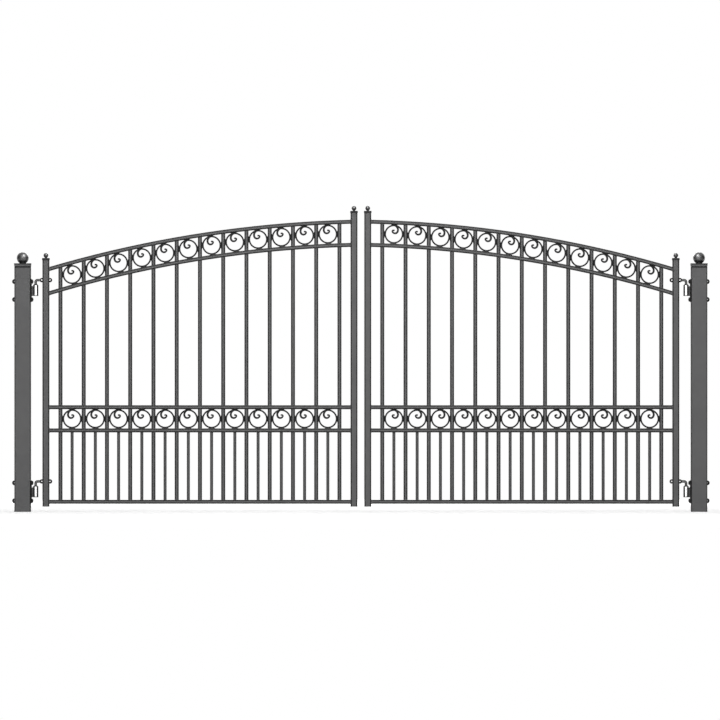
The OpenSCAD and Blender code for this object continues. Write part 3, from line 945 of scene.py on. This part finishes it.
def stile_plug(low, high):
    """Plug with round edges and a dished lower face, for one stile."""
    form = settings()[1]
    width = high.x - low.x - 2 * form.plug_gap
    deselect_all()
    bpy.ops.mesh.primitive_cube_add(
        size=1, location=((low.x + high.x) / 2, 0, low.z + PLUG_LIFT + form.plug / 2))
    plug = bpy.context.object
    plug.scale = (width, width, form.plug)
    seat_in_mesh(plug)
    bpy.ops.object.mode_set(mode="EDIT")
    bpy.ops.mesh.select_all(action="SELECT")
    bpy.ops.mesh.bevel(offset=PLUG_BEVEL, segments=3)
    bpy.ops.mesh.select_all(action="DESELECT")
    bpy.ops.object.mode_set(mode="OBJECT")
    for face in plug.data.polygons:
        faces_down = face.normal.z < -0.99
        face.select = faces_down and face.area > width * width / 2
    bpy.ops.object.mode_set(mode="EDIT")
    bpy.ops.mesh.inset(thickness=PLUG_RIM, depth=-PLUG_DISH)
    bpy.ops.mesh.select_all(action="SELECT")
    bpy.ops.mesh.normals_make_consistent(inside=False)
    bpy.ops.object.mode_set(mode="OBJECT")
    bpy.ops.object.shade_smooth_by_angle(angle=PLUG_SMOOTHING)
    return plug


class GATE_OT_plugs(Operator):
    """Closes the stiles' lower ends with dished plugs"""
    bl_idname = "gate.plugs"
    bl_label = "Plug the stiles"

    def execute(self, context):
        for side in SIDES:
            pair = join([stile_plug(*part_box(side + "_" + stile)) for stile in STILES])
            pair.name = side + "_stile_plugs"
            settle(pair, side + "_leaf", "Stile plug")
        return {"FINISHED"}


# Stage

# Height that the lamps are aimed at
AIM_HEIGHT = 0.95
WHITE = (1.0, 1.0, 1.0, 1.0)
FLOOR_TINT = (0.8, 0.8, 0.8, 1.0)
# Glow of the floor near the gate, and the distance from the centre at which it starts to rise
FLOOR_GLOW = 0.45
FLOOR_RISE = 3.0
# Share of the floor's radius at which its glow is full
FLOOR_FULL = 0.9
# Parts of a direction that run along the gate, between which the surroundings darken
SIDE_SPAN = (0.62, 0.9)


def area_light(name, place, size, power):
    data = bpy.data.lights.new(name, "AREA")
    data.shape = "RECTANGLE"
    data.size, data.size_y = size
    data.energy = power
    lamp = bpy.data.objects.new(name, data)
    lamp.location = place
    aim = Vector((place[0], 0, AIM_HEIGHT)) - Vector(place)
    lamp.rotation_euler = aim.to_track_quat("-Z", "Y").to_euler()
    bpy.context.collection.objects.link(lamp)
    return lamp


def white_to_the_eye(tree):
    """One where a ray comes from the camera, a gloss or a clear surface, else zero."""
    path = add(tree, "ShaderNodeLightPath").outputs
    either = calc(tree, "MAXIMUM", path["Is Camera Ray"], path["Is Glossy Ray"])
    return calc(tree, "MAXIMUM", either, path["Is Transmission Ray"])


class GATE_OT_stage(Operator):
    """Lays a pale floor, hangs soft lights and sets the camera"""
    bl_idname = "gate.stage"
    bl_label = "Set the stage"

    def execute(self, context):
        stage = settings()[2]
        centre = gate_centre()
        self.lay_floor(stage, centre)
        self.hang_lights(stage, centre)
        self.paint_world(context.scene, stage)
        self.aim_camera(context.scene, stage, centre)
        context.scene.view_settings.view_transform = "Standard"
        return {"FINISHED"}

    def lay_floor(self, stage, centre):
        deselect_all()
        bpy.ops.mesh.primitive_circle_add(
            vertices=96, radius=stage.floor_radius, fill_type="NGON", location=(centre, 0, 0))
        floor = bpy.context.object
        floor.name = "Studio floor"
        seat_in_mesh(floor)
        material, tree, shader = new_material("Pale floor")
        shader["Base Color"].default_value = FLOOR_TINT
        shader["Roughness"].default_value = 0.9
        shader["Specular IOR Level"].default_value = 0.0
        shader["Emission Color"].default_value = WHITE
        place = add(tree, "ShaderNodeTexCoord")
        from_centre = add(tree, "ShaderNodeVectorMath", operation="DISTANCE")
        put(tree, from_centre.inputs[0], place.outputs["Object"])
        put(tree, from_centre.inputs[1], (centre, 0, 0))
        glow = spread(tree, from_centre.outputs["Value"],
                      FLOOR_RISE, FLOOR_FULL * stage.floor_radius, FLOOR_GLOW, 1.0)
        put(tree, shader["Emission Strength"], calc(tree, "MULTIPLY", white_to_the_eye(tree), glow))
        dress(floor, material)

    def hang_lights(self, stage, centre):
        area_light("Key light", (centre, -5.4, 4.3), (8.5, 1.2), stage.key_power)
        area_light("Fill light", (centre, -7.5, 1.3), (7.0, 2.4), stage.fill_power)
        spark = area_light("Spark light", (centre, -2.7, 5.4), (2.4, 1.6), stage.spark_power)
        spark.visible_diffuse = False
        area_light("Back light", (centre, 6.5, 4.0), (6.0, 2.0), stage.back_power)

    def paint_world(self, scene, stage):
        """White to the eye and in reflections, with a shaded side at both ends of the gate."""
        world = bpy.data.worlds.new("Studio")
        scene.world = world
        world.use_nodes = True
        tree = world.node_tree
        sky = tree.nodes["Background"].inputs
        sky["Color"].default_value = WHITE
        level = spread(tree, white_to_the_eye(tree), 0.0, 1.0, stage.ambient, 1.0)
        way = split(tree, add(tree, "ShaderNodeTexCoord").outputs["Generated"])
        flag = spread(tree, calc(tree, "ABSOLUTE", way["X"]), *SIDE_SPAN, 1.0, stage.side_shade)
        seen = add(tree, "ShaderNodeLightPath").outputs["Is Camera Ray"]
        put(tree, sky["Strength"], calc(tree, "MULTIPLY", level, calc(tree, "MAXIMUM", flag, seen)))

    def aim_camera(self, scene, stage, centre):
        data = bpy.data.cameras.new("Front view")
        data.lens = stage.lens
        data.sensor_width = 36.0
        data.clip_start = 0.5
        data.clip_end = 1000.0
        camera = bpy.data.objects.new("Front view", data)
        distance = stage.view_width * stage.lens / data.sensor_width
        camera.location = (centre - stage.view_left, -distance, stage.view_height)
        camera.rotation_euler = (QUARTER, 0, 0)
        bpy.context.collection.objects.link(camera)
        scene.camera = camera


# Panel and registration

STEPS = (GATE_OT_coat, GATE_OT_picket_welds, GATE_OT_ring_welds, GATE_OT_frame_welds,
         GATE_OT_bracket_welds, GATE_OT_plugs, GATE_OT_stage)


class GATE_PT_panel(Panel):
    """Steps and sizes of the gate"""
    bl_idname = "GATE_PT_panel"
    bl_label = "Arched driveway gate"
    bl_space_type = "VIEW_3D"
    bl_region_type = "UI"
    bl_category = "Gate"

    def draw(self, context):
        for group in settings():
            box = self.layout.box()
            for name in group.__annotations__:
                box.prop(group, name)
        for step in STEPS:
            self.layout.operator(step.bl_idname)


GROUPS = (("gate_finish", GateFinish), ("gate_form", GateForm), ("gate_stage", GateStage))


def register():
    for name, group in GROUPS:
        bpy.utils.register_class(group)
        setattr(bpy.types.Scene, name, PointerProperty(type=group))
    for step in STEPS:
        bpy.utils.register_class(step)
    bpy.utils.register_class(GATE_PT_panel)


def unregister():
    bpy.utils.unregister_class(GATE_PT_panel)
    for step in reversed(STEPS):
        bpy.utils.unregister_class(step)
    for name, group in reversed(GROUPS):
        delattr(bpy.types.Scene, name)
        bpy.utils.unregister_class(group)


def main():
    register()
    bpy.ops.gate.coat()
    bpy.ops.gate.picket_welds()
    bpy.ops.gate.ring_welds()
    bpy.ops.gate.frame_welds()
    bpy.ops.gate.bracket_welds()
    bpy.ops.gate.plugs()
    bpy.ops.gate.stage()


if __name__ == "__main__":
    main()
